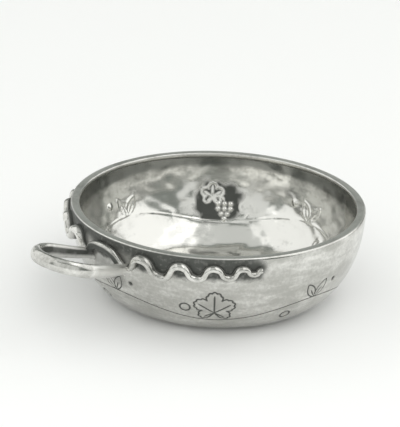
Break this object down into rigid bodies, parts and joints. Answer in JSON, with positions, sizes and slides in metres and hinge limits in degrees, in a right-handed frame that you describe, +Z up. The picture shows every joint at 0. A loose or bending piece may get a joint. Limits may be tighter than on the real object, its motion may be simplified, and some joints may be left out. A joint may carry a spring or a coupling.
{
  "type": "wine taster",
  "caption": "Shallow round silver wine-tasting cup with a flat base, a thick rim, a finger ring handle with an arch wire over its ends, and wavy wires soldered along the wall.",
  "frame": {"origin": "middle of the flat underside, on the bowl's upright axis", "axes": "+Z up along the bowl's axis, the finger ring points along -X, and the XZ plane is the mirror plane"},
  "size_m": [0.1081, 0.085, 0.028],
  "materials": {
    "hammered_silver": "hand-hammered silver, softly polished, with dark oxidised lines and ground",
    "rim_silver": "satin silver with bright worn edges",
    "ring_silver": "polished silver, worn by handling",
    "wave_silver": "polished silver on an oxidised ground"
  },
  "bodies": {
    "root": {"bowl": "hammered_silver", "rim_wire": "rim_silver", "ring_handle": "ring_silver", "arch_wire": "ring_silver", "wave_wire_front": "wave_silver", "wave_wire_back": "wave_silver"}
  },
  "joints": []
}
